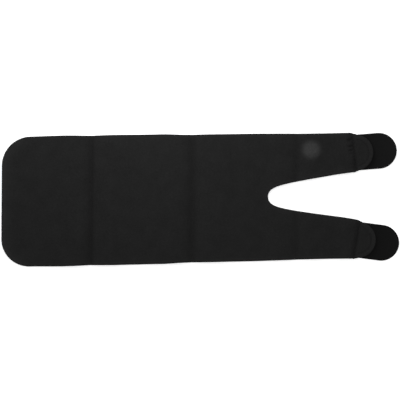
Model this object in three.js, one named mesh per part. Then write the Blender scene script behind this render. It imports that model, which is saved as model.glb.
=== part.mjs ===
import * as THREE from "three";
import { mergeVertices } from "three/addons/utils/BufferGeometryUtils.js";

// An open upper arm wrap laid flat: a notched foam-and-fabric sheet with two straps, and a hook
// tab sewn under the end of each strap. Millimetres, x along the wrap towards the straps, y across
// it, z up, with the origin on the ground under the middle of the wrap.

// Thicknesses
const SHEET_THICKNESS = 3;
const TAPE_THICKNESS = 1.8;
const SEWN_GAP = 0.3;

// Rounded free end of the sheet; it and the folds lie slightly off square, by this slope
const END_X = -221.1;
const END_RADIUS = 31.6;
const CROSS_LEAN = 0.025;

// Half of the sheet's width, at places along it
const WIDTHS = [
  { along: -190, half: 72.5 },
  { along: -155, half: 73.0 },
  { along: -122, half: 72.3 },
  { along: -90, half: 72.6 },
  { along: -45, half: 72.4 },
  { along: -12, half: 71.3 },
  { along: 60, half: 71.2 },
  { along: 108, half: 70.1 },
  { along: 175, half: 70.2 },
];

// Notch between the straps: a blunt tip, and flanks that open at an even slope
const NOTCH_TIP_X = 76.3;
const NOTCH_MIDDLE_Y = 0.4;
const NOTCH_TIP_HALF = 13.3;
const NOTCH_TIP_ROUND = 8.9;
const NOTCH_FLANK_SLOPE = 0.14;

// Valley folds from packing: where each crosses the middle, how high and how far its flanks stand
// up, and how deep and wide its crease is pressed in
const FOLDS = [
  { at: -121.2, lift: 2.4, reach: 44, press: 1.1, pressHalf: 2.4 },
  { at: -8, lift: 2.2, reach: 48, press: 0.95, pressHalf: 4 },
  { at: 108.7, lift: 1.2, reach: 36, press: 0.5, pressHalf: 3.2 },
];
// A flank's profile is share * (1 - share)^2 of its reach, scaled to peak at its lift
const FLANK_SCALE = 27 / 4;

// Where each strap's tab is sewn on: the middle of its root, and the way that the tab points
const TABS = [
  { name: "hook_tab_upper", side: 1, rootX: 172.3, rootY: 47.8, turn: 3.5 },
  { name: "hook_tab_lower", side: -1, rootX: 173.3, rootY: -49, turn: -8.5 },
];

// Share of a strap's length from which its edges ease into the two ends of the root
const STRAP_EASE_START = 0.8;

// Strap end beyond the root: half widths of its shoulders, then a half-round tongue
const SHOULDERS = [
  { along: 0, half: 21.9 },
  { along: 3, half: 20.8 },
  { along: 6.6, half: 19.5 },
];
const TONGUE_RADIUS = 20;

// Seam pressed into the strap, a little ahead of its tab's root and leaning towards the notch
const SEAM_AHEAD = 1.2;
const SEAM_LEAN = 0.045;
const SEAM_DEPTH = 1.2;
const SEAM_HALF = 2.8;

// Hook tape, measured from the root
const TAPE_HALF_WIDTH = 20;
const TAPE_TUCK = 5;
const TAPE_STRAIGHT = 29;
const TAPE_CURVE_STEPS = 24;

// The strap climbs onto the tape between these distances behind the root
const CLIMB_START = 28;
const CLIMB_END = 6.5;

// Mesh steps
const CELLS_ACROSS = 8;
const CORNER_STEPS = 8;
const STATION_SPACING = 13;
const STATION_NEAREST = 1.4;
const FOLD_STATIONS = [-30, -15, -7, -3, 0, 3, 7, 15, 30];
const NOTCH_STATIONS = [0.4, 1.4, 3.2, 6, 10];
const ROOT_STATIONS = [-CLIMB_START, -17, -10, -CLIMB_END, -4, -2];
const TONGUE_STATIONS = [0, 1.5, 3, 4.8, 6.6];
const TONGUE_STEPS = 4;
const TONGUE_TIP_ANGLE = 48;
const WELD_DISTANCE = 1e-4;

// Finishes: brushed black loop cloth, and darker, smoother tape
const SHEET_FINISH = { color: 0x212121, roughness: 0.95, metalness: 0 };
const TAPE_FINISH = { color: 0x151515, roughness: 0.7, metalness: 0 };

const { lerp, smoothstep, degToRad } = THREE.MathUtils;

// Value of a table's column at a distance along it, eased between rows
function tableHalf(table, along) {
  const next = table.findIndex((row) => row.along >= along);
  if (next === 0) return table[0].half;
  if (next < 0) return table[table.length - 1].half;
  const before = table[next - 1];
  const after = table[next];
  return lerp(before.half, after.half, smoothstep(along, before.along, after.along));
}

// Half width of the sheet, with the round corners of its free end
function outerHalf(x) {
  const half = tableHalf(WIDTHS, x);
  const intoCorner = END_X + END_RADIUS - x;
  if (intoCorner <= 0) return half;
  const round = Math.sqrt(Math.max(0, END_RADIUS ** 2 - intoCorner ** 2));
  return half - END_RADIUS + round;
}

// Half width of the notch at a distance inside its tip
function notchHalf(inside) {
  return NOTCH_TIP_HALF * Math.sqrt(inside / (inside + NOTCH_TIP_ROUND)) + NOTCH_FLANK_SLOPE * inside;
}

// A tab's own directions in plan: along it, and across it towards the wrap's outer edge
function tabFrame(tab) {
  const root = new THREE.Vector2(tab.rootX, tab.rootY);
  const along = new THREE.Vector2(Math.cos(degToRad(tab.turn)), Math.sin(degToRad(tab.turn)));
  const outward = new THREE.Vector2(-along.y, along.x).multiplyScalar(tab.side);
  return { root, along, outward };
}

function onTab(frame, along, outward) {
  return frame.root.clone().addScaledVector(frame.along, along).addScaledVector(frame.outward, outward);
}

// Distance of a plan point past a fold's crease
function pastFold(point, fold) {
  return point.x - fold.at - CROSS_LEAN * point.y;
}

// Distances of a plan point past the root of the tab on its side, and across that tab
function fromRoot(point) {
  const frame = tabFrame(point.y > NOTCH_MIDDLE_Y ? TABS[0] : TABS[1]);
  const offset = point.clone().sub(frame.root);
  return { along: offset.dot(frame.along), outward: offset.dot(frame.outward) };
}

function pastSeam(point) {
  const { along, outward } = fromRoot(point);
  return along - SEAM_AHEAD + SEAM_LEAN * outward;
}

// Height of the sheet's underside: zero where it lies flat
function underHeight(point) {
  const climbed = smoothstep(fromRoot(point).along, -CLIMB_START, -CLIMB_END);
  let height = (TAPE_THICKNESS + SEWN_GAP) * climbed;
  for (const fold of FOLDS) {
    const share = Math.min(1, Math.abs(pastFold(point, fold)) / fold.reach);
    height += fold.lift * FLANK_SCALE * share * (1 - share) ** 2;
  }
  return height;
}

// Height of the sheet's top: pressed in along the folds and along the seams
function topHeight(point) {
  let pressed = SEAM_DEPTH * Math.exp(-((pastSeam(point) / SEAM_HALF) ** 2));
  for (const fold of FOLDS) {
    pressed += fold.press * Math.exp(-((pastFold(point, fold) / fold.pressHalf) ** 2));
  }
  return underHeight(point) + SHEET_THICKNESS - pressed;
}

// Places along x from start to end, evenly spaced and at each mark, none too close to the last
function stations(start, end, marks) {
  const count = Math.round((end - start) / STATION_SPACING);
  const even = Array.from({ length: count }, (_, i) => lerp(start, end, i / count));
  const wanted = [...marks.filter((x) => x > start && x < end), ...even].sort((a, b) => a - b);
  const kept = [];
  for (const x of wanted) {
    const clearOfLast = kept.length === 0 || x - kept[kept.length - 1] > STATION_NEAREST;
    if (clearOfLast && end - x > STATION_NEAREST) kept.push(x);
  }
  return [...kept, end];
}

// Shares of the way across, closer together towards both edges
const ACROSS = Array.from({ length: CELLS_ACROSS + 1 }, (_, i) => {
  return (1 - Math.cos((Math.PI * i) / CELLS_ACROSS)) / 2;
});

// Places along x that a fold's shape needs
function foldMarks() {
  return FOLDS.flatMap((fold) => FOLD_STATIONS.map((offset) => fold.at + offset));
}

// Columns of plan points from the lower edge to the upper one, from the free end to the notch
function bodyColumns() {
  const corner = Array.from({ length: CORNER_STEPS }, (_, i) => {
    return END_X + END_RADIUS * (1 - Math.cos((Math.PI / 2) * (i / CORNER_STEPS)));
  });
  const straight = stations(END_X + END_RADIUS, NOTCH_TIP_X, foldMarks());
  return [...corner, ...straight].map((x) => {
    const half = outerHalf(x);
    const lower = ACROSS.map((share) => lerp(-half, NOTCH_MIDDLE_Y, share));
    const upper = ACROSS.slice(1).map((share) => lerp(NOTCH_MIDDLE_Y, half, share));
    return [...lower, ...upper].map((y) => new THREE.Vector2(x + CROSS_LEAN * y, y));
  });
}

// Columns of plan points from the notch to the outer edge of one strap, up to its tab's root
function strapColumns(tab) {
  const frame = tabFrame(tab);
  const innerEnd = onTab(frame, 0, -SHOULDERS[0].half);
  const outerEnd = onTab(frame, 0, SHOULDERS[0].half);
  const tipX = NOTCH_TIP_X + CROSS_LEAN * NOTCH_MIDDLE_Y;
  const notchMarks = NOTCH_STATIONS.map((offset) => NOTCH_TIP_X + offset);
  const rootMarks = ROOT_STATIONS.map((offset) => tab.rootX + offset);
  const places = stations(NOTCH_TIP_X, tab.rootX, [...notchMarks, ...foldMarks(), ...rootMarks]);
  return places.map((x) => {
    const share = (x - NOTCH_TIP_X) / (tab.rootX - NOTCH_TIP_X);
    const innerX = lerp(tipX, innerEnd.x, share);
    const inner = new THREE.Vector2(innerX, NOTCH_MIDDLE_Y + tab.side * notchHalf(innerX - tipX));
    const outerY = tab.side * outerHalf(x);
    const outer = new THREE.Vector2(lerp(x + CROSS_LEAN * outerY, outerEnd.x, share), outerY);
    const ease = smoothstep(share, STRAP_EASE_START, 1);
    inner.lerp(innerEnd, ease);
    outer.lerp(outerEnd, ease);
    return ACROSS.map((acrossShare) => inner.clone().lerp(outer, acrossShare));
  });
}

// Columns of one strap's end, from the root over the shoulders to the rounded tip
function tongueColumns(tab) {
  const frame = tabFrame(tab);
  const shoulderEnd = TONGUE_STATIONS[TONGUE_STATIONS.length - 1];
  const shoulders = TONGUE_STATIONS.map((along) => {
    const half = tableHalf(SHOULDERS, along);
    return ACROSS.map((share) => onTab(frame, along, lerp(-half, half, share)));
  });
  const startAngle = Math.asin(tableHalf(SHOULDERS, shoulderEnd) / TONGUE_RADIUS);
  const tipAngle = degToRad(TONGUE_TIP_ANGLE);
  const centre = shoulderEnd - TONGUE_RADIUS * Math.cos(startAngle);
  const onRim = (angle) => {
    return { along: centre + TONGUE_RADIUS * Math.cos(angle), half: TONGUE_RADIUS * Math.sin(angle) };
  };
  const corner = onRim(tipAngle);
  // The rim runs round both sides of these columns and along the last one
  const tip = Array.from({ length: TONGUE_STEPS }, (_, i) => {
    const step = (i + 1) / TONGUE_STEPS;
    const side = onRim(lerp(startAngle, tipAngle, step));
    return ACROSS.map((share) => {
      const across = lerp(-1, 1, share);
      const end = onRim(tipAngle * across);
      const along = side.along + step * (end.along - corner.along);
      return onTab(frame, along, side.half * across + step * (end.half - corner.half * across));
    });
  });
  return [...shoulders, ...tip];
}

// Closed solid between the sheet's underside and its top
class SheetBuilder {
  constructor() {
    this.positions = [];
  }

  corner(point, height) {
    return [point.x, point.y, height(point)];
  }

  quad(a, b, c, d) {
    this.positions.push(...a, ...b, ...c, ...a, ...c, ...d);
  }

  // Both faces between neighbouring columns, whose points run towards +y
  faces(columns) {
    for (let i = 0; i + 1 < columns.length; i += 1) {
      for (let j = 0; j + 1 < columns[i].length; j += 1) {
        const loop = [columns[i][j], columns[i + 1][j], columns[i + 1][j + 1], columns[i][j + 1]];
        this.quad(...loop.map((point) => this.corner(point, topHeight)));
        this.quad(...loop.reverse().map((point) => this.corner(point, underHeight)));
      }
    }
  }

  // Cut edge round an outline that runs anticlockwise seen from above
  edge(outline) {
    outline.forEach((point, i) => {
      const next = outline[(i + 1) % outline.length];
      const low = [this.corner(point, underHeight), this.corner(next, underHeight)];
      const high = [this.corner(next, topHeight), this.corner(point, topHeight)];
      this.quad(...low, ...high);
    });
  }

  geometry() {
    const soup = new THREE.BufferGeometry();
    soup.setAttribute("position", new THREE.Float32BufferAttribute(this.positions, 3));
    const welded = mergeVertices(soup, WELD_DISTANCE);
    welded.computeVertexNormals();
    return welded;
  }
}

function sheetGeometry() {
  const body = bodyColumns();
  const [upper, lower] = TABS.map((tab) => [...strapColumns(tab), ...tongueColumns(tab).slice(1)]);
  const lowerTowardsNotch = lower.map((column) => [...column].reverse());
  const builder = new SheetBuilder();
  builder.faces(body);
  builder.faces(upper);
  builder.faces(lowerTowardsNotch);

  const last = CELLS_ACROSS;
  const bodyLowerEdge = body.map((column) => column[0]);
  const lowerOuterEdge = lower.slice(1).map((column) => column[last]);
  const lowerTip = lower[lower.length - 1].slice(1, last).reverse();
  const lowerInnerEdge = lower.map((column) => column[0]).reverse();
  const upperInnerEdge = upper.slice(1).map((column) => column[0]);
  const upperTip = upper[upper.length - 1].slice(1, last);
  const upperOuterEdge = upper.slice(1).map((column) => column[last]).reverse();
  const bodyUpperEdge = body.map((column) => column[2 * last]).reverse();
  const freeEnd = body[0].slice(1, 2 * last).reverse();
  builder.edge([
    ...bodyLowerEdge,
    ...lowerOuterEdge,
    ...lowerTip,
    ...lowerInnerEdge,
    ...upperInnerEdge,
    ...upperTip,
    ...upperOuterEdge,
    ...bodyUpperEdge,
    ...freeEnd,
  ]);
  return builder.geometry();
}

// Half-round tape, its hooks and backing taken as one thickness
function tapeGeometry() {
  const outline = new THREE.Shape();
  outline.moveTo(-TAPE_TUCK, -TAPE_HALF_WIDTH);
  outline.lineTo(TAPE_STRAIGHT, -TAPE_HALF_WIDTH);
  outline.absarc(TAPE_STRAIGHT, 0, TAPE_HALF_WIDTH, -Math.PI / 2, Math.PI / 2, false);
  outline.lineTo(-TAPE_TUCK, TAPE_HALF_WIDTH);
  outline.closePath();
  return new THREE.ExtrudeGeometry(outline, {
    depth: TAPE_THICKNESS,
    bevelEnabled: false,
    curveSegments: TAPE_CURVE_STEPS,
  });
}

function namedMesh(name, geometry, finish) {
  const mesh = new THREE.Mesh(geometry, new THREE.MeshStandardMaterial(finish));
  mesh.name = name;
  return mesh;
}

const wrap = new THREE.Group();
wrap.add(namedMesh("wrap_panel", sheetGeometry(), SHEET_FINISH));
for (const tab of TABS) {
  const tape = namedMesh(tab.name, tapeGeometry(), TAPE_FINISH);
  tape.position.set(tab.rootX, tab.rootY, 0);
  tape.rotation.z = degToRad(tab.turn);
  wrap.add(tape);
}

export default wrap;
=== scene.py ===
import functools
import math

import bpy
import numpy as np
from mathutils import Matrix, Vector


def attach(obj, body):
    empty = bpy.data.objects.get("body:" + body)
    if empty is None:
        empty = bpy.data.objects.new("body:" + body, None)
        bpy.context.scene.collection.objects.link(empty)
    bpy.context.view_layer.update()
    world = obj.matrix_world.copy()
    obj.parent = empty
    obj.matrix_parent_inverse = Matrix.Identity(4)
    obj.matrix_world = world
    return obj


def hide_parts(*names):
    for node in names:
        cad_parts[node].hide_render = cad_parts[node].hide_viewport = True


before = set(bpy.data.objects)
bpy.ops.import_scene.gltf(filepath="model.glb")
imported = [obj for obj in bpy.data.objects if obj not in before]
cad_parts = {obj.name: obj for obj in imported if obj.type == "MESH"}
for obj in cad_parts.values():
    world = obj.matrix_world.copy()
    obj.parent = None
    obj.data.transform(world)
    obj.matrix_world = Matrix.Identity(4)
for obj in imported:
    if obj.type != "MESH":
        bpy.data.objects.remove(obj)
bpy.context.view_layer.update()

# An open upper arm wrap laid flat: a notched foam-and-fabric sheet with two straps, and a hook tab
# sewn under the end of each strap. Shapes are worked out in millimetres, x along the wrap towards
# the straps and z up, and MM turns them into metres when a mesh is made.
MM = 0.001

# Thicknesses
SHEET_THICKNESS = 3.0
TAPE_TOP = 1.8
TAPE_BACKING = 0.6
SEWN_CLEARANCE = 0.08

# Rounded free end of the sheet; it and the folds lie slightly off square, by this slope
END_X = -221.1
END_RADIUS = 31.6
CROSS_LEAN = 0.025

# Half of the sheet's width, at places along it
WIDTHS = [
    dict(along=-190, half=72.5),
    dict(along=-155, half=73.0),
    dict(along=-122, half=72.3),
    dict(along=-90, half=72.6),
    dict(along=-45, half=72.4),
    dict(along=-12, half=71.3),
    dict(along=60, half=71.2),
    dict(along=108, half=70.1),
    dict(along=175, half=70.2),
]

# Notch between the straps: a blunt tip, and flanks that open at an even slope
NOTCH_TIP_X = 76.3
NOTCH_MIDDLE_Y = 0.4
NOTCH_TIP_HALF = 13.3
NOTCH_TIP_ROUND = 8.9
NOTCH_FLANK_SLOPE = 0.14

# Valley folds from packing: where each crosses the middle, how high and how far its flanks stand
# up, how deep and wide its crease is pressed in, and how round its bottom is
FOLDS = [
    dict(at=-121.2, lift=2.4, reach=44, press=1.1, press_half=2.4, round=1.5),
    dict(at=-8.0, lift=2.2, reach=48, press=0.95, press_half=4.0, round=4.0),
    dict(at=108.7, lift=1.2, reach=36, press=0.5, press_half=3.2, round=3.0),
]
# A flank's profile is share * (1 - share)^2 of its reach, scaled to peak at its lift
FLANK_SCALE = 27 / 4

# Where each strap's tab is sewn on: the middle of its root, the way that the tab points, and the
# painted light that makes its tape paler or darker
TABS = [
    dict(name="upper", side=1, root=(172.3, 47.8), turn=3.5, painted_light=1.1),
    dict(name="lower", side=-1, root=(173.3, -49.0), turn=-8.5, painted_light=0.8),
]

# Share of a strap's length from which its edges ease into the two ends of the root
STRAP_EASE_START = 0.8

# Strap end beyond the root: half widths of its shoulders, then a half-round tongue
SHOULDERS = [
    dict(along=0.0, half=21.9),
    dict(along=3.0, half=20.8),
    dict(along=6.6, half=19.5),
]
TONGUE_RADIUS = 20.0
TONGUE_START_ANGLE = math.asin(SHOULDERS[-1]["half"] / TONGUE_RADIUS)
TONGUE_CENTRE = SHOULDERS[-1]["along"] - TONGUE_RADIUS * math.cos(TONGUE_START_ANGLE)

# Seam pressed into the strap, a little ahead of its tab's root and slanting towards the notch, and
# the climb of the strap onto the tape behind it
SEAM_AHEAD = 1.2
SEAM_LEAN = 0.045
SEAM_DEPTH = 1.2
SEAM_HALF_BEHIND = 3.2
SEAM_HALF_AHEAD = 1.7
CLIMB_START = 28.0
CLIMB_END = 6.5

# Small folds gathered into the outer half of the upper strap behind its seam: where each lies across
# the strap, how deep it is, and half of its width
GATHERS = [
    dict(across=14.1, depth=1.05, half=2.2),
    dict(across=7.1, depth=1.05, half=1.3),
    dict(across=2.7, depth=1.05, half=1.3),
    dict(across=-0.7, depth=0.55, half=1.5),
]

# Hook tape, measured from the root
TAPE_HALF_WIDTH = 20.0
TAPE_TUCK = 5.0
TAPE_STRAIGHT = 29.0
TAPE_LIP = 0.22
TAPE_LIP_REACH = 0.5

# Weave of the tape's back: ribs along it and weft across it, plain along its selvedges
WEAVE_RIB = 1.2
WEAVE_WEFT = 0.9
SELVEDGE = 1.6
SELVEDGE_EASE = 0.3
YARN_RELIEF = 0.4

# Knit of the lining: the pitch of its columns and rows, and how far they waver
KNIT_WALE = 2.2
KNIT_COURSE = 1.8
KNIT_DISTORTION = 0.4

# Strip behind each seam that the stitch draws in, and the faint puckers of the zigzag in it
DRAWN_BEHIND = 3.8
DRAWN_REACH = 2.6
PUCKER_PITCH = 4.0
PUCKER_DEPTH = 0.11

# Line of stitches inside the rim of the tongue, and the band outside it that stands up
RIM_STITCH_INSET = 5.0
RIM_STITCH_START = 4.0
RIM_STITCH_EASE = 1.0
RIM_GROOVE_DEPTH = 0.18
RIM_GROOVE_HALF = 0.8
RIM_BAND_EASE = 2.0

# Cut edge: how far its lip rolls down, and its layers from the top face to the underside
LIP_ROLL = 0.4
LIP_REACH = 1.3
CLOTH, FOAM, LINING = 0, 1, 2
EDGE_LAYERS = [
    dict(down=0.10, inset=-0.05, layer=CLOTH),
    dict(down=0.20, inset=0.03, layer=CLOTH),
    dict(down=0.24, inset=0.18, layer=FOAM),
    dict(down=0.50, inset=0.30, layer=FOAM),
    dict(down=0.78, inset=0.20, layer=FOAM),
    dict(down=0.82, inset=0.04, layer=FOAM),
    dict(down=0.92, inset=-0.03, layer=LINING),
    dict(down=1.00, inset=0.08, layer=LINING),
]

# Slow unevenness of a sheet that has been folded and unpacked
WAVE_SEED = 7
WAVE_COUNT = 7
WAVE_LENGTHS = (16.0, 60.0)
WAVE_HEIGHT = 0.07

# Thread: zigzag over the seam, single stitches along the rim. Its middle lies a little off the face and
# dives into it at both ends of a stitch
THREAD_RADIUS = 0.2
THREAD_LIFT = THREAD_RADIUS / 2
THREAD_LOBE = 0.2
THREAD_TWIST = 1.1
THREAD_SIDES = 8
THREAD_STEP = 0.3
THREAD_DIVE = 0.6
THREAD_DIVE_POWER = 6
ZIGZAG_HALF = 2.3
ZIGZAG_MARGIN = 2.6
STITCH_LENGTH = 3.0
STITCH_GAP = 0.5
STITCH_MIN_POINTS = 6
# Distance from the cut edge that stitches are laid for, clear of its rolled lip
STITCH_EDGE = LIP_REACH + SHEET_THICKNESS

# Hooks under the tape, with angles in degrees: none is quite in its place or turned quite along the tape
HOOK_PITCH_ALONG = 1.7
HOOK_PITCH_ACROSS = 1.4
HOOK_RADIUS = 0.1
HOOK_SHANK = 0.72
HOOK_BEND = 0.28
HOOK_SWEEP = 200
HOOK_SIDES = 5
HOOK_STEPS = 6
HOOK_MARGIN = 1.4
HOOK_SEED = 11
HOOK_TURN_JITTER = 14
HOOK_ALONG_JITTER = 0.15
HOOK_ACROSS_JITTER = 0.1

# Mesh steps, and the angle from which an edge is shaded sharp
CELLS_ACROSS = 50
RIM_SHARES = (0.0, 0.004, 0.011, 0.022)
CORNER_STEPS = 28
COARSE_STEP = 1.7
FINE_STEP = 0.8
FINE_REACH = 7.0
STATION_PROBES = 4000
NOTCH_STEPS = 18
NOTCH_START = 0.025
SHOULDER_STEPS = 11
TONGUE_STEPS = 24
TONGUE_CROWDING = 1.6
TONGUE_TIP_ANGLE = math.radians(48)
EDGE_CHUNKS = 200
TAPE_CELLS_ALONG = 60
TAPE_CELLS_ACROSS = 60
SHARP_ANGLE = math.radians(50)

# Pale round mark on the upper strap: where its middle is, and its radius to half strength
SPOT_PLACE = (125.5, 52.2)
SPOT_RADIUS = 9.0
SPOT_SOFTNESS = 4.6

# Ways that the fibres of the nap lie, in degrees
FIBRE_TURNS = (10, 55, 100, 150)

# Painted shade: the top looks darker by up to this share where the sheet slopes down towards the straps
PAINTED_SLOPE_SHADE = 0.13
PAINTED_SHADE_SLOPES = (-0.3, -0.1)
SLOPE_STEP = 3.0

# Nap pressed flat, and painted shade: the shade where a seam presses the nap, and how the rim's groove
# and each millimetre of a fold's crease or of a gather compare with a seam
PRESSED_AND_PAINTED_SHADE = 0.76
RIM_GROOVE_WEAR_AND_SHADE = 0.2
FOLD_WEAR_AND_SHADE = 0.75
GATHER_WEAR_AND_SHADE = 1.3

# Painted highlight: lighter on the band round each tongue, along the cut edge, and more so and further
# in round the free end, up to a stretch of its sides where that fades
PAINTED_HIGHLIGHT_GAIN = 1.13
EDGE_REACH = 4.5
FREE_END_REACH = 9.0
FREE_END_HIGHLIGHT = 3.0
FREE_END_FADE = (8.0, 40.0)

# Painted shade and light on the tape's weave, darker by the tongue and paler towards its tip: from
# where to where along it, and its shades
TAPE_SHADE_SPAN = (8.0, 46.0)
TAPE_PAINTED_SHADES = (0.6, 1.2)

# Reflectance of each finish
LOOP_GREY = 0.0098
SPOT_GREY = 0.0248
FOAM_GREY = 0.011
LINING_GREY = 0.011
TAPE_GREY = 0.003
THREAD_GREY = 0.0085
HOOK_GREY = 0.010
FLOOR_GREY = 0.92

# Noise, fibres and pores keep mostly between these values, and a wave texture turns by this many
# radians for each unit
NOISE_RANGE = (0.3, 0.7)
FIBRE_RANGE = (0.5, 0.75)
PORE_RANGE = (0.1, 0.6)
WAVE_TEXTURE_RATE = 20

# Studio: camera over the middle with its roll in degrees, a broad lamp beyond the upper edge, and even
# light from all round
VIEW_WIDTH = 446.4
VIEW_PLACE = (0.4, -1.75)
VIEW_ROLL = -1.0527
LENS = 100.0
SENSOR = 36.0
LAMP_PLACE = (-60, 290, 170)
LAMP_AIM = (0, 20, 0)
LAMP_SIZE = (260, 180)
LAMP_POWER = 1.3
WORLD_LIGHT = 0.95
FLOOR_GLOW = 0.35
FLOOR_SIZE = 8000


# Helpers


def smooth(value, low, high):
    """0 up to low, 1 from high on, eased between."""
    share = np.clip((value - low) / (high - low), 0, 1)
    return share * share * (3 - 2 * share)


def bell(value, half):
    """1 at zero, fading on both sides over about half."""
    return np.exp(-((value / half) ** 2))


def table_half(table, along):
    """Half width at a distance along a table, eased between its rows."""
    half = np.full_like(along, table[0]["half"])
    for before, after in zip(table, table[1:]):
        rise = (after["half"] - before["half"]) * smooth(along, before["along"], after["along"])
        half = half + rise
    return half


# Plan of the sheet


def outer_half(x):
    """Half width of the sheet, with the round corners of its free end."""
    into_corner = np.clip(END_X + END_RADIUS - x, 0, END_RADIUS)
    return table_half(WIDTHS, x) - END_RADIUS + np.sqrt(END_RADIUS**2 - into_corner**2)


def notch_half(inside):
    """Half width of the notch at a distance inside its tip."""
    return NOTCH_TIP_HALF * np.sqrt(inside / (inside + NOTCH_TIP_ROUND)) + NOTCH_FLANK_SLOPE * inside


def tab_axes(tab):
    """A tab's own directions in plan: along it, and across it towards the wrap's outer edge."""
    turn = math.radians(tab["turn"])
    along = np.array([math.cos(turn), math.sin(turn)])
    outward = tab["side"] * np.array([-along[1], along[0]])
    return along, outward


def on_tab(tab, along, outward):
    """Plan points at distances along and across a tab, measured from the middle of its root."""
    forward, sideways = tab_axes(tab)
    along, outward = np.broadcast_arrays(along, outward)
    return np.array(tab["root"]) + along[..., None] * forward + outward[..., None] * sideways


def stations(start, end, marks):
    """Places along x from start to end, closer together near the marks."""
    probes = np.linspace(start, end, STATION_PROBES)
    nearest = np.min([abs(probes - mark) for mark in marks], axis=0)
    steps = np.diff(probes) / np.where(nearest < FINE_REACH, FINE_STEP, COARSE_STEP)[1:]
    counted = np.concatenate([[0], np.cumsum(steps)])
    return np.interp(np.linspace(0, counted[-1], math.ceil(counted[-1]) + 1), counted, probes)


def across_shares():
    """Shares of the way across half the sheet, crowded towards both edges."""
    rim = np.array(RIM_SHARES)
    inner = np.linspace(rim[-1], 1 - rim[-1], CELLS_ACROSS + 1)
    return np.concatenate([rim[:-1], inner, 1 - rim[-2::-1]])


def body_columns(shares):
    """Columns of plan points from the lower edge to the upper one, from the free end to the notch."""
    angles = np.linspace(0, math.pi / 2, CORNER_STEPS + 1)[:-1]
    corner = END_X + END_RADIUS * (1 - np.cos(angles))
    straight = stations(END_X + END_RADIUS, NOTCH_TIP_X, [fold["at"] for fold in FOLDS])
    x = np.concatenate([corner, straight])[:, None]
    half = outer_half(x)
    lower = -half + (half + NOTCH_MIDDLE_Y) * shares
    upper = NOTCH_MIDDLE_Y + (half - NOTCH_MIDDLE_Y) * shares[1:]
    y = np.hstack([lower, upper])
    return np.stack([x + CROSS_LEAN * y, y], axis=-1)


def strap_columns(tab, shares):
    """Columns from the notch to the outer edge of one strap, past the notch's tip and up to the root."""
    root_x = tab["root"][0]
    inner_end = on_tab(tab, 0.0, -SHOULDERS[0]["half"])
    outer_end = on_tab(tab, 0.0, SHOULDERS[0]["half"])
    tip_x = NOTCH_TIP_X + CROSS_LEAN * NOTCH_MIDDLE_Y
    near_tip = NOTCH_TIP_X + NOTCH_START * np.arange(1, NOTCH_STEPS) ** 2
    past_tip = NOTCH_TIP_X + NOTCH_START * NOTCH_STEPS**2
    x = np.concatenate([near_tip, stations(past_tip, root_x, [FOLDS[-1]["at"], root_x])])
    share = (x - NOTCH_TIP_X) / (root_x - NOTCH_TIP_X)
    inner_x = tip_x + (inner_end[0] - tip_x) * share
    inner = np.stack([inner_x, NOTCH_MIDDLE_Y + tab["side"] * notch_half(inner_x - tip_x)], axis=-1)
    outer_y = tab["side"] * outer_half(x)
    leaning_x = x + CROSS_LEAN * outer_y
    outer = np.stack([leaning_x + (outer_end[0] - leaning_x) * share, outer_y], axis=-1)
    ease = smooth(share, STRAP_EASE_START, 1)[:, None]
    inner += (inner_end - inner) * ease
    outer += (outer_end - outer) * ease
    return inner[:, None] + (outer - inner)[:, None] * shares[:, None]


def tongue_rim(angle):
    """Places on the tongue's half-round rim: along the tab, and across it."""
    return TONGUE_CENTRE + TONGUE_RADIUS * np.cos(angle), TONGUE_RADIUS * np.sin(angle)


def tongue_columns(tab, shares):
    """Columns of one strap's end, from just past the root over the shoulders to the rounded tip."""
    across = 2 * shares - 1
    last = SHOULDERS[-1]
    along = np.linspace(0, last["along"], SHOULDER_STEPS + 1)[1:, None]
    shoulders = on_tab(tab, along, table_half(SHOULDERS, along) * across)
    # The rim runs round both sides of the columns past the shoulders, and along the last one
    steps = 1 - (1 - np.linspace(0, 1, TONGUE_STEPS + 1)[1:, None]) ** TONGUE_CROWDING
    side_along, side_half = tongue_rim(TONGUE_START_ANGLE + (TONGUE_TIP_ANGLE - TONGUE_START_ANGLE) * steps)
    end_along, end_outward = tongue_rim(TONGUE_TIP_ANGLE * across)
    corner_along, corner_half = tongue_rim(TONGUE_TIP_ANGLE)
    reach = side_along + steps * (end_along - corner_along)
    outward = side_half * across + steps * (end_outward - corner_half * across)
    return np.concatenate([shoulders, on_tab(tab, reach, outward)])


# Relief of the sheet


def past_root(plan):
    """Distance past the tab's root of the strap on each point's side, and distance across that strap."""
    result = []
    for tab in TABS:
        along, outward = tab_axes(tab)
        offset = plan - np.array(tab["root"])
        result.append((offset @ along, offset @ outward))
    on_upper = plan[:, 1] > NOTCH_MIDDLE_Y
    return [np.where(on_upper, upper, lower) for upper, lower in zip(*result)]


def seam_along(across):
    """Where a seam lies along its tab, at a distance across it."""
    return SEAM_AHEAD - SEAM_LEAN * across


def past_fold(plan, fold):
    """Distance along the sheet from a fold's slanting line."""
    return plan[:, 0] - fold["at"] - CROSS_LEAN * plan[:, 1]


def under_height(plan):
    """Height of the sheet's underside: zero where it lies flat."""
    past, _ = past_root(plan)
    height = (TAPE_TOP + SEWN_CLEARANCE) * smooth(past, -CLIMB_START, -CLIMB_END)
    for fold in FOLDS:
        away = np.hypot(past_fold(plan, fold), fold["round"]) - fold["round"]
        share = np.clip(away / fold["reach"], 0, 1)
        height = height + fold["lift"] * FLANK_SCALE * share * (1 - share) ** 2
    return height


def waves(plan):
    """Slow unevenness, zero on average."""
    rng = np.random.default_rng(WAVE_SEED)
    height = np.zeros(len(plan))
    for _ in range(WAVE_COUNT):
        length = rng.uniform(*WAVE_LENGTHS)
        heading = rng.uniform(0, math.pi)
        phase = rng.uniform(0, 2 * math.pi)
        travel = plan[:, 0] * math.cos(heading) + plan[:, 1] * math.sin(heading)
        height += np.sin(2 * math.pi * travel / length + phase)
    return WAVE_HEIGHT * height


def seam_press(plan):
    """Channel of the seam: a slow slope down to it, and a steep one up onto the tongue."""
    past, across = past_root(plan)
    past = past - seam_along(across)
    return bell(past, np.where(past < 0, SEAM_HALF_BEHIND, SEAM_HALF_AHEAD))


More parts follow.
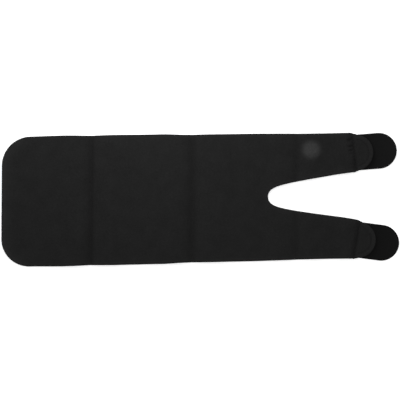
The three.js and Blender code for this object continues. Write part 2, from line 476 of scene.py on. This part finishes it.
def fold_press(plan, fold):
    """1 at the bottom of a fold's crease, fading on both sides."""
    return bell(past_fold(plan, fold), fold["press_half"])


def on_tongue(plan):
    """1 past the start of the stitches inside the tongue's rim, 0 before it."""
    past, _ = past_root(plan)
    return smooth(past, RIM_STITCH_START - RIM_STITCH_EASE, RIM_STITCH_START + RIM_STITCH_EASE)


def rim_press(plan, edge):
    """Groove of the stitches inside the tongue's rim."""
    return on_tongue(plan) * bell(edge - RIM_STITCH_INSET, RIM_GROOVE_HALF)


def rim_band(plan, edge):
    """1 on the band between the tongue's rim and its stitches."""
    return on_tongue(plan) * (1 - smooth(edge, RIM_STITCH_INSET - RIM_BAND_EASE, RIM_STITCH_INSET))


def drawn_in(plan):
    """1 in the middle of the strip that the stitch draws in behind a seam, fading on both sides."""
    past, across = past_root(plan)
    return bell(past - seam_along(across) + DRAWN_BEHIND, DRAWN_REACH)


def puckers(plan):
    """Faint waves across each strap in the strip that the stitch draws in."""
    _, across = past_root(plan)
    return PUCKER_DEPTH * drawn_in(plan) * np.sin(2 * math.pi * across / PUCKER_PITCH)


def gathered(plan):
    """Depth of the small folds behind the upper seam."""
    _, across = past_root(plan)
    depth = sum(fold["depth"] * bell(across - fold["across"], fold["half"]) for fold in GATHERS)
    return depth * drawn_in(plan) * (plan[:, 1] > NOTCH_MIDDLE_Y)


def top_height(plan, edge):
    """Height of the sheet's top, given each point's distance from the cut edge."""
    pressed = SEAM_DEPTH * seam_press(plan) + gathered(plan)
    for fold in FOLDS:
        pressed = pressed + fold["press"] * fold_press(plan, fold)
    pressed = pressed + RIM_GROOVE_DEPTH * rim_press(plan, edge)
    lip = LIP_ROLL * np.clip(1 - edge / LIP_REACH, 0, 1) ** 2
    return under_height(plan) + SHEET_THICKNESS - pressed - lip + waves(plan) + puckers(plan)


def edge_distance(plan, outline):
    """Distance of each plan point from the closed outline."""
    step = np.roll(outline, -1, axis=0) - outline
    squared = (step**2).sum(axis=1)
    found = []
    for part in np.array_split(plan, EDGE_CHUNKS):
        offset = part[:, None] - outline
        share = np.clip((offset * step).sum(axis=-1) / squared, 0, 1)
        away = offset - share[..., None] * step
        found.append(np.sqrt((away**2).sum(axis=-1).min(axis=1)))
    return np.concatenate(found)


# Meshes from arrays


def grid_quads(grid):
    """Faces between neighbouring columns of a grid of vertex numbers, facing up where rows run to +y."""
    corners = [grid[:-1, :-1], grid[1:, :-1], grid[1:, 1:], grid[:-1, 1:]]
    return np.stack([corner.ravel() for corner in corners], axis=-1)


def mesh_object(name, points, faces, materials, layers=None, values=None):
    """An object in metres from points in millimetres, with a material for each layer of faces."""
    mesh = bpy.data.meshes.new(name)
    mesh.from_pydata((np.asarray(points) * MM).tolist(), [], [list(face) for face in faces])
    for material in materials:
        mesh.materials.append(material)
    if layers is not None:
        mesh.polygons.foreach_set("material_index", np.asarray(layers, dtype=np.int32))
    for key, value in (values or {}).items():
        attribute = mesh.attributes.new(key, "FLOAT", "POINT")
        attribute.data.foreach_set("value", np.asarray(value, dtype=np.float32))
    mesh.shade_smooth()
    mesh.set_sharp_from_angle(angle=SHARP_ANGLE)
    piece = bpy.data.objects.new(name, mesh)
    bpy.context.scene.collection.objects.link(piece)
    return piece


def tube(path, radius, sides, reference, lobe=0.0, twist=0.0):
    """Points and faces of a closed tube along a path; a lobed section turns by twist for each step."""
    tangent = np.gradient(path, axis=0)
    tangent /= np.linalg.norm(tangent, axis=1)[:, None]
    first = np.cross(reference, tangent)
    first /= np.linalg.norm(first, axis=1)[:, None]
    second = np.cross(tangent, first)
    angle = np.linspace(0, 2 * math.pi, sides, endpoint=False)
    turn = twist * np.arange(len(path))[:, None]
    size = radius * (1 + lobe * np.cos(2 * (angle + turn)))
    ring = first[:, None] * np.cos(angle)[:, None] + second[:, None] * np.sin(angle)[:, None]
    points = (path[:, None] + ring * size[..., None]).reshape(-1, 3)
    number = np.arange(len(path) * sides).reshape(len(path), sides)
    around = np.hstack([number, number[:, :1]])
    faces = [list(quad) for quad in grid_quads(around)[:, ::-1]]
    faces.append(list(number[0][::-1]))
    faces.append(list(number[-1]))
    return points, faces


def joined(parts):
    """One list of points and faces from several."""
    points, faces, count = [], [], 0
    for part_points, part_faces in parts:
        points.append(part_points)
        faces.extend([corner + count for corner in face] for face in part_faces)
        count += len(part_points)
    return np.concatenate(points), faces


# Sheet of foam between loop cloth and lining


def sheet_plan():
    """Plan points of the sheet, its grids of point numbers, and the numbers along its outline."""
    shares = across_shares()
    last = len(shares) - 1
    body_points = body_columns(shares)
    body = np.arange(body_points.shape[0] * body_points.shape[1]).reshape(body_points.shape[:2])
    points, count = [body_points.reshape(-1, 2)], body.size
    straps = []
    for tab, start in zip(TABS, (body[-1, last:], body[-1, last::-1])):
        columns = np.concatenate([strap_columns(tab, shares), tongue_columns(tab, shares)])
        numbers = count + np.arange(columns.shape[0] * columns.shape[1]).reshape(columns.shape[:2])
        straps.append(np.vstack([start, numbers]))
        points.append(columns.reshape(-1, 2))
        count += numbers.size
    upper, lower = straps
    outline = np.concatenate([
        body[:, 0],
        lower[1:, last],
        lower[-1, last - 1 : 0 : -1],
        lower[::-1, 0],
        upper[1:, 0],
        upper[-1, 1:last],
        upper[:0:-1, last],
        body[::-1, 2 * last],
        body[0, 2 * last - 1 : 0 : -1],
    ])
    return np.concatenate(points), [body, upper, lower[:, ::-1]], outline


def edge_rings(plan, outline, top, under):
    """Points of the cut edge below the top's outline, a ring for each layer's lower end."""
    corner = plan[outline]
    tangent = np.roll(corner, -1, axis=0) - np.roll(corner, 1, axis=0)
    inward = np.stack([-tangent[:, 1], tangent[:, 0]], axis=-1)
    inward /= np.linalg.norm(inward, axis=1)[:, None]
    height = (top - under)[outline]
    rings = []
    for row in EDGE_LAYERS:
        flat = corner + row["inset"] * inward
        rings.append(np.column_stack([flat, top[outline] - row["down"] * height]))
    return rings


def sheet_faces(grids, outline, count):
    """Faces of the top, the underside and the cut edge, and the layer that each belongs to."""
    faces, layers = [], []
    for grid in grids:
        quads = grid_quads(grid)
        faces += [quads, quads[:, ::-1] + count]
        layers += [np.full(len(quads), CLOTH), np.full(len(quads), LINING)]
    first_ring = 2 * count + np.arange(len(outline))
    inner_rings = [first_ring + i * len(outline) for i in range(len(EDGE_LAYERS) - 1)]
    rings = [outline, *inner_rings, outline + count]
    for row, above, below in zip(EDGE_LAYERS, rings, rings[1:]):
        quads = np.column_stack([above, below, np.roll(below, -1), np.roll(above, -1)])
        faces.append(quads)
        layers.append(np.full(len(quads), row["layer"]))
    return np.concatenate(faces), np.concatenate(layers)


def nap_values(plan, edge):
    """Values for the top's colour: nap pressed with painted shade, painted highlight, and the slope under
    it.
    """
    # Nap pressed flat, with painted shade in the seam's channel, the rim's groove, the gathers and the
    # folds' creases
    pressed = np.maximum(seam_press(plan), RIM_GROOVE_WEAR_AND_SHADE * rim_press(plan, edge))
    pressed = np.maximum(pressed, GATHER_WEAR_AND_SHADE * gathered(plan))
    for fold in FOLDS:
        pressed = np.maximum(pressed, FOLD_WEAR_AND_SHADE * fold["press"] * fold_press(plan, fold))
    # Painted highlight along the cut edge, round the free end and on the band round each tongue's rim
    past_end = plan[:, 0] - CROSS_LEAN * plan[:, 1] - END_X
    at_free_end = FREE_END_HIGHLIGHT * bell(edge, FREE_END_REACH) * (1 - smooth(past_end, *FREE_END_FADE))
    painted_highlight = np.max([bell(edge, EDGE_REACH), at_free_end, rim_band(plan, edge)], axis=0)
    step = np.array([SLOPE_STEP, 0])
    slope = (under_height(plan + step) - under_height(plan - step)) / (2 * SLOPE_STEP)
    return dict(pressed=pressed, painted_highlight=painted_highlight, slope=slope)


def make_sheet(cloth, foam, lining):
    """The whole sheet: top, underside and layered edge in one closed mesh."""
    plan, grids, outline = sheet_plan()
    count = len(plan)
    edge = edge_distance(plan, plan[outline])
    top = top_height(plan, edge)
    under = under_height(plan)
    rings = edge_rings(plan, outline, top, under)
    top_points = np.column_stack([plan, top])
    under_points = np.column_stack([plan, under])
    under_points[outline] = rings[-1]
    points = np.concatenate([top_points, under_points, *rings[:-1]])
    faces, layers = sheet_faces(grids, outline, count)
    # Only the top has a nap, so its values are zero elsewhere
    off_top = np.zeros(len(points) - count)
    values = {key: np.concatenate([value, off_top]) for key, value in nap_values(plan, edge).items()}
    return mesh_object("wrap_sheet", points, faces, [cloth, foam, lining], layers, values)


# Thread


def stitch_path(start, end, over):
    """Path of one stitch between two needle holes, over the sheet or under the tape."""
    length = np.linalg.norm(end - start)
    share = np.linspace(0, 1, max(STITCH_MIN_POINTS, round(length / THREAD_STEP)))
    flat = start + share[:, None] * (end - start)
    dive = THREAD_DIVE * np.abs(2 * share - 1) ** THREAD_DIVE_POWER
    if over:
        height = top_height(flat, np.full(len(flat), STITCH_EDGE)) + THREAD_LIFT - dive
    else:
        height = TAPE_TOP - TAPE_BACKING - THREAD_LIFT + dive
    return np.column_stack([flat, height])


def stitches(name, holes, finish):
    """One joined mesh of the stitches between pairs of needle holes, on both faces."""
    parts = []
    for start, end in holes:
        for over in (True, False):
            path = stitch_path(start, end, over)
            thread = tube(
                path, THREAD_RADIUS, THREAD_SIDES, reference=(0, 0, 1), lobe=THREAD_LOBE, twist=THREAD_TWIST
            )
            parts.append(thread)
    points, faces = joined(parts)
    return mesh_object(name, points, faces, [finish])


def zigzag_holes(tab):
    """Pairs of needle holes to and fro across the seam, two stitches to each pucker."""
    half = SHOULDERS[0]["half"] - ZIGZAG_MARGIN
    count = round(4 * half / PUCKER_PITCH)
    across = np.linspace(-half, half, count + 1)
    along = ZIGZAG_HALF * np.where(np.arange(count + 1) % 2, 1.0, -1.0)
    holes = on_tab(tab, seam_along(across) + along, across)
    return list(zip(holes[:-1], holes[1:]))


def rim_holes(tab):
    """Pairs of needle holes along the tongue's rim, inside its edge."""
    radius = TONGUE_RADIUS - RIM_STITCH_INSET
    sweep = math.acos((RIM_STITCH_START - TONGUE_CENTRE) / radius)
    count = round(2 * sweep * radius / (STITCH_LENGTH + STITCH_GAP))
    angles = np.linspace(-sweep, sweep, count + 1)
    half_stitch = STITCH_LENGTH / 2 / radius
    holes = []
    for middle in (angles[:-1] + angles[1:]) / 2:
        ends = np.array([middle - half_stitch, middle + half_stitch])
        holes.append(on_tab(tab, TONGUE_CENTRE + radius * np.cos(ends), radius * np.sin(ends)))
    return holes


# Hook tape


def tape_end(across, inset=0.0):
    """How far the tape reaches past the root, at a distance across it and inside its edge."""
    return TAPE_STRAIGHT + np.sqrt(np.clip((TAPE_HALF_WIDTH - inset) ** 2 - across**2, 0, None))


def make_tape(tab, finish):
    """Woven backing of one hook tab, with a rounded and sealed edge."""
    across = TAPE_HALF_WIDTH * np.sin(np.linspace(-math.pi / 2, math.pi / 2, TAPE_CELLS_ACROSS + 1))
    share = np.sin(np.linspace(-math.pi / 2, math.pi / 2, TAPE_CELLS_ALONG + 1))[:, None] / 2 + 0.5
    along = -TAPE_TUCK + (tape_end(across) + TAPE_TUCK) * share
    outward = np.broadcast_to(across, along.shape)
    past_round = np.hypot(np.clip(along - TAPE_STRAIGHT, 0, None), outward)
    edge = np.minimum(TAPE_HALF_WIDTH - past_round, along + TAPE_TUCK)
    top = TAPE_TOP - TAPE_LIP * np.clip(1 - edge / TAPE_LIP_REACH, 0, 1) ** 2
    plan = on_tab(tab, along, outward).reshape(-1, 2)
    count = len(plan)
    bottom = np.full(count, TAPE_TOP - TAPE_BACKING)
    points = np.concatenate([np.column_stack([plan, top.ravel()]), np.column_stack([plan, bottom])])
    grid = np.arange(count).reshape(along.shape)
    if tab["side"] < 0:
        grid = grid[:, ::-1]
    quads = grid_quads(grid)
    outline = np.concatenate([grid[:, 0], grid[-1, 1:-1], grid[::-1, -1], grid[0, -2:0:-1]])
    following = np.roll(outline, -1)
    wall = np.column_stack([outline, outline + count, following + count, following])
    faces = np.concatenate([quads, quads[:, ::-1] + count, wall])
    # Painted shade and light: darker by the tongue, paler towards the tip, and each tab paler or darker as
    # the light falls
    painted_tape_shade = tab["painted_light"] * np.interp(along, TAPE_SHADE_SPAN, TAPE_PAINTED_SHADES)
    on_one_face = dict(along=along, outward=outward, painted_tape_shade=painted_tape_shade)
    values = {key: np.tile(value.ravel(), 2) for key, value in on_one_face.items()}
    return mesh_object("tape_" + tab["name"], points, faces, [finish], values=values)


def hook_shape():
    """Points and faces of one bent filament that hangs from the origin."""
    bend = np.radians(np.linspace(180, 180 + HOOK_SWEEP, HOOK_STEPS + 1))
    arc = np.column_stack([
        HOOK_BEND * (1 + np.cos(bend)),
        np.zeros(len(bend)),
        -HOOK_SHANK + HOOK_BEND * np.sin(bend),
    ])
    path = np.vstack([[0, 0, HOOK_RADIUS], arc])
    return tube(path, HOOK_RADIUS, HOOK_SIDES, reference=(0, 1, 0))


def make_hooks(tab, finish):
    """Rows of bent filaments under the tape, turned either way by turns."""
    hook_points, hook_faces = hook_shape()
    rng = np.random.default_rng(HOOK_SEED + tab["side"])

    def jittered(value, spread):
        return value + rng.uniform(-spread, spread)

    parts = []
    rows = np.arange(-TAPE_HALF_WIDTH + HOOK_MARGIN, TAPE_HALF_WIDTH - HOOK_MARGIN, HOOK_PITCH_ACROSS)
    for row, across in enumerate(rows):
        odd = row % 2
        first = -TAPE_TUCK + HOOK_MARGIN + HOOK_PITCH_ALONG * odd / 2
        last = tape_end(across, HOOK_MARGIN)
        for along in np.arange(first, last, HOOK_PITCH_ALONG):
            turn = math.radians(jittered(tab["turn"] + 180 * odd, HOOK_TURN_JITTER))
            cos, sin = math.cos(turn), math.sin(turn)
            plan = on_tab(tab, jittered(along, HOOK_ALONG_JITTER), jittered(across, HOOK_ACROSS_JITTER))
            x = plan[0] + cos * hook_points[:, 0] - sin * hook_points[:, 1]
            y = plan[1] + sin * hook_points[:, 0] + cos * hook_points[:, 1]
            parts.append((np.column_stack([x, y, hook_points[:, 2] + TAPE_TOP - TAPE_BACKING]), hook_faces))
    points, faces = joined(parts)
    return mesh_object("hooks_" + tab["name"], points, faces, [finish])


# Finishes


class Finish:
    """A procedural material: adds nodes to its tree and links them."""

    def __init__(self, name, specular):
        self.material = bpy.data.materials.new(name)
        self.material.use_nodes = True
        self.tree = self.material.node_tree
        self.shader = self.tree.nodes["Principled BSDF"]
        self.shader.inputs["Specular IOR Level"].default_value = specular
        self.place = self.node("ShaderNodeTexCoord").outputs["Object"]

    def node(self, kind, inputs=None, **settings):
        """A new node, its settings made and its sockets set or linked."""
        made = self.tree.nodes.new(kind)
        for key, value in settings.items():
            setattr(made, key, value)
        for socket, value in (inputs or {}).items():
            self.feed(made.inputs[socket], value)
        return made

    def feed(self, socket, value):
        if isinstance(value, bpy.types.NodeSocket):
            self.tree.links.new(value, socket)
        else:
            socket.default_value = value

    def math(self, operation, *values):
        return self.node("ShaderNodeMath", dict(enumerate(values)), operation=operation).outputs[0]

    def combined(self, operation, values):
        """All the values taken together by one operation, one after another."""
        return functools.reduce(functools.partial(self.math, operation), values)

    def product(self, *values):
        return self.combined("MULTIPLY", values)

    def mixed(self, first, second, share):
        """First and second mixed, with this share of the second, by the node's sockets for numbers."""
        return self.node("ShaderNodeMix", {0: share, 2: first, 3: second}).outputs[0]

    def ramp(self, value, between, to, smooth_ends=False):
        """Value between two limits carried over to another range and held there."""
        kind = "SMOOTHSTEP" if smooth_ends else "LINEAR"
        inputs = dict(enumerate((value, *between, *to)))
        return self.node("ShaderNodeMapRange", inputs, interpolation_type=kind).outputs[0]

    def scaled(self, stretch):
        return self.node("ShaderNodeMapping", {"Vector": self.place, "Scale": stretch}).outputs[0]

    def noise(self, size, detail=2, stretch=(1, 1, 1)):
        """Noise whose features are about size millimetres wide."""
        inputs = {"Vector": self.scaled(stretch), "Scale": 1 / (size * MM), "Detail": detail}
        return self.node("ShaderNodeTexNoise", inputs).outputs["Fac"]

    def fibres(self, width, length, turns):
        """Streaks of a width and length in millimetres, laid over each other at several angles."""
        streaks = []
        for turn in turns:
            laying = {"Vector": self.place, "Rotation": (0, 0, math.radians(turn))}
            laying["Scale"] = (length * MM, width * MM, width * MM)
            laid = self.node("ShaderNodeMapping", laying, vector_type="TEXTURE").outputs[0]
            grain = self.node("ShaderNodeTexNoise", {"Vector": laid, "Scale": 1, "Detail": 1})
            streaks.append(grain.outputs["Fac"])
        return self.combined("MAXIMUM", streaks)

    def cells(self, size):
        """Distance from the middles of round cells about size millimetres wide."""
        inputs = {"Vector": self.place, "Scale": 1 / (size * MM)}
        return self.node("ShaderNodeTexVoronoi", inputs).outputs["Distance"]

    def ribs(self, pitch, direction):
        """Bands that repeat every pitch millimetres, slightly wavy."""
        scale = 2 * math.pi / WAVE_TEXTURE_RATE / (pitch * MM)
        inputs = {"Vector": self.place, "Scale": scale, "Distortion": KNIT_DISTORTION, "Detail": 1}
        return self.node("ShaderNodeTexWave", inputs, bands_direction=direction).outputs["Fac"]

    def swing(self, distance, pitch):
        """Wave from -1 to 1 over a distance in millimetres."""
        return self.math("SINE", self.math("MULTIPLY", distance, 2 * math.pi / pitch))

    def value(self, name):
        return self.node("ShaderNodeAttribute", attribute_name=name).outputs["Fac"]

    def colour(self, *shades):
        self.tree.links.new(self.product(*shades), self.shader.inputs["Base Color"])

    def rough(self, value, between, to):
        self.tree.links.new(self.ramp(value, between, to), self.shader.inputs["Roughness"])

    def bump(self, height, depth, strength=1):
        """Relief of a height from 0 to 1, depth millimetres deep."""
        inputs = {"Height": height, "Distance": depth * MM, "Strength": strength}
        made = self.node("ShaderNodeBump", inputs)
        self.tree.links.new(made.outputs["Normal"], self.shader.inputs["Normal"])

    def sheen(self, weight, roughness):
        self.shader.inputs["Sheen Weight"].default_value = weight
        self.shader.inputs["Sheen Roughness"].default_value = roughness


def pale_mark(finish):
    """Reflectance of the cloth, higher inside the soft-edged round mark."""
    middle = (SPOT_PLACE[0] * MM, SPOT_PLACE[1] * MM, 0)
    inputs = {0: finish.scaled((1, 1, 0)), 1: middle}
    away = finish.node("ShaderNodeVectorMath", inputs, operation="DISTANCE").outputs["Value"]
    limits = ((SPOT_RADIUS - SPOT_SOFTNESS) * MM, (SPOT_RADIUS + SPOT_SOFTNESS) * MM)
    return finish.ramp(away, limits, to=(SPOT_GREY, LOOP_GREY), smooth_ends=True)


def loop_cloth():
    """Brushed loop pile: uneven nap, painted shade where pressed and on slopes, painted highlight by edges,
    and the pale mark.
    """
    finish = Finish("brushed_loop_cloth", specular=0.03)
    finish.sheen(weight=0.015, roughness=0.5)
    patches = finish.noise(size=14, detail=3)
    pile = finish.noise(size=1.5, detail=4, stretch=(0.7, 1, 1))
    fibres = finish.fibres(width=0.45, length=2.2, turns=FIBRE_TURNS)
    nap = finish.ramp(finish.mixed(patches, pile, share=0.6), NOISE_RANGE, to=(0.82, 1.18))
    strands = finish.ramp(fibres, FIBRE_RANGE, to=(0.86, 1.14))
    # Darker where the nap is pressed flat, partly painted shade in the channel, groove, gathers and creases
    pressed_and_shaded = finish.math("MULTIPLY_ADD", finish.value("pressed"), PRESSED_AND_PAINTED_SHADE - 1, 1)
    # Painted highlight along the edges and on the tongue's rim band
    highlighted = finish.math("MULTIPLY_ADD", finish.value("painted_highlight"), PAINTED_HIGHLIGHT_GAIN - 1, 1)
    # Painted shade on slopes down towards the straps, which face away from the light
    slope_shade = finish.ramp(finish.value("slope"), PAINTED_SHADE_SLOPES, to=(1 - PAINTED_SLOPE_SHADE, 1))
    finish.colour(nap, strands, pressed_and_shaded, highlighted, slope_shade, pale_mark(finish))
    finish.rough(finish.product(nap, pressed_and_shaded), between=(0.6, 1.2), to=(0.85, 1))
    finish.bump(finish.mixed(pile, fibres, share=0.6), depth=0.3, strength=0.8)
    return finish.material


def foam_core():
    """Closed-cell foam where the sheet is cut: fine pores."""
    finish = Finish("foam_core", specular=0.08)
    pores = finish.cells(size=0.5)
    finish.colour(finish.ramp(pores, PORE_RANGE, to=(0.7, 1.2)), FOAM_GREY)
    finish.rough(pores, PORE_RANGE, to=(1, 0.8))
    finish.bump(pores, depth=0.12)
    return finish.material


def knit_lining():
    """Jersey on the underside: loops in columns and rows, uneven and slightly fuzzy."""
    finish = Finish("knit_lining", specular=0.2)
    finish.sheen(weight=0.03, roughness=0.4)
    knit = finish.product(finish.ribs(KNIT_WALE, "Y"), finish.ribs(KNIT_COURSE, "X"))
    patches = finish.noise(size=9)
    fuzz = finish.noise(size=2.5, detail=3)
    uneven = finish.mixed(patches, fuzz, share=0.5)
    mottled = finish.ramp(uneven, NOISE_RANGE, to=(0.82, 1.18))
    loops = finish.ramp(knit, between=(0, 1), to=(0.93, 1.15))
    finish.colour(mottled, loops, LINING_GREY)
    finish.rough(uneven, NOISE_RANGE, to=(0.95, 0.75))
    finish.bump(knit, depth=0.22, strength=0.7)
    return finish.material


def tape_weave():
    """Woven nylon back of the hook tape, with painted shade by the tongue and painted light towards its
    tip.
    """
    finish = Finish("tape_weave", specular=0.06)
    ribs = finish.swing(finish.value("outward"), WEAVE_RIB)
    weft = finish.swing(finish.value("along"), WEAVE_WEFT)
    across = finish.math("ABSOLUTE", finish.value("outward"))
    selvedge = TAPE_HALF_WIDTH - SELVEDGE
    inside = finish.ramp(across, (selvedge, selvedge + SELVEDGE_EASE), to=(1, 0))
    yarn = finish.product(finish.noise(size=0.4), YARN_RELIEF)
    relief = finish.math("ADD", finish.product(ribs, weft, inside), yarn)
    uneven = finish.math("ADD", relief, finish.noise(size=6))
    shade = finish.ramp(uneven, between=(-0.3, 1.7), to=(0.8, 1.2))
    finish.colour(shade, finish.value("painted_tape_shade"), TAPE_GREY)
    finish.rough(relief, between=(-0.8, 1.2), to=(0.7, 0.5))
    finish.bump(relief, depth=0.05, strength=0.8)
    return finish.material


def sewing_thread():
    """Matt twisted yarn."""
    finish = Finish("sewing_thread", specular=0.05)
    strands = finish.noise(size=0.18)
    finish.colour(finish.ramp(strands, NOISE_RANGE, to=(0.75, 1.25)), THREAD_GREY)
    finish.rough(strands, NOISE_RANGE, to=(0.8, 0.6))
    finish.bump(strands, depth=0.03)
    return finish.material


def hook_nylon():
    """Smooth nylon filament, a little cloudy."""
    finish = Finish("hook_nylon", specular=0.4)
    cloudy = finish.noise(size=0.8)
    finish.colour(finish.ramp(cloudy, NOISE_RANGE, to=(0.85, 1.15)), HOOK_GREY)
    finish.rough(cloudy, NOISE_RANGE, to=(0.3, 0.5))
    return finish.material


def white_table():
    """Plain white surface with a faint glow of its own."""
    finish = Finish("white_table", specular=0.1)
    mottled = finish.noise(size=40)
    finish.colour(finish.ramp(mottled, NOISE_RANGE, to=(0.99, 1.01)), FLOOR_GREY)
    finish.rough(mottled, NOISE_RANGE, to=(0.85, 0.95))
    finish.shader.inputs["Emission Color"].default_value = (1, 1, 1, 1)
    finish.shader.inputs["Emission Strength"].default_value = FLOOR_GLOW
    return finish.material


# Studio


def make_floor():
    half = FLOOR_SIZE / 2
    corners = [(-half, -half, 0), (half, -half, 0), (half, half, 0), (-half, half, 0)]
    return mesh_object("table_top", corners, [(0, 1, 2, 3)], [white_table()])


def make_lamp():
    data = bpy.data.lights.new("broad_lamp", "AREA")
    data.shape = "RECTANGLE"
    data.size, data.size_y = (size * MM for size in LAMP_SIZE)
    data.energy = LAMP_POWER
    lamp = bpy.data.objects.new("broad_lamp", data)
    lamp.location = Vector(LAMP_PLACE) * MM
    aim = Vector(LAMP_AIM) * MM - lamp.location
    lamp.rotation_euler = aim.to_track_quat("-Z", "Y").to_euler()
    lamp.visible_camera = False
    bpy.context.scene.collection.objects.link(lamp)


def make_world():
    world = bpy.data.worlds.new("even_light")
    world.use_nodes = True
    world.node_tree.nodes["Background"].inputs["Color"].default_value = (1, 1, 1, 1)
    world.node_tree.nodes["Background"].inputs["Strength"].default_value = WORLD_LIGHT
    bpy.context.scene.world = world


def make_camera():
    """Camera looking straight down, so far up that the view is VIEW_WIDTH wide at the sheet's top."""
    data = bpy.data.cameras.new("camera")
    data.lens = LENS
    data.sensor_width = SENSOR
    camera = bpy.data.objects.new("camera", data)
    height = VIEW_WIDTH * LENS / SENSOR + SHEET_THICKNESS
    camera.location = Vector((*VIEW_PLACE, height)) * MM
    camera.rotation_euler = (0, 0, math.radians(VIEW_ROLL))
    bpy.context.scene.collection.objects.link(camera)
    bpy.context.scene.camera = camera


make_camera()
make_world()
make_lamp()
floor = make_floor()
bpy.context.scene.view_settings.view_transform = "Standard"

sheet = make_sheet(loop_cloth(), foam_core(), knit_lining())
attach(sheet, "root")
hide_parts("wrap_panel")

tape_finish = tape_weave()
hook_finish = hook_nylon()
thread_finish = sewing_thread()
sewn_on = []
for tab in TABS:
    tape = make_tape(tab, tape_finish)
    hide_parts("hook_tab_" + tab["name"])
    hooks = make_hooks(tab, hook_finish)
    seam = stitches("seam_thread_" + tab["name"], zigzag_holes(tab), thread_finish)
    rim = stitches("rim_thread_" + tab["name"], rim_holes(tab), thread_finish)
    for piece in (tape, hooks, seam, rim):
        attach(piece, "root")
    sewn_on += [seam, rim]
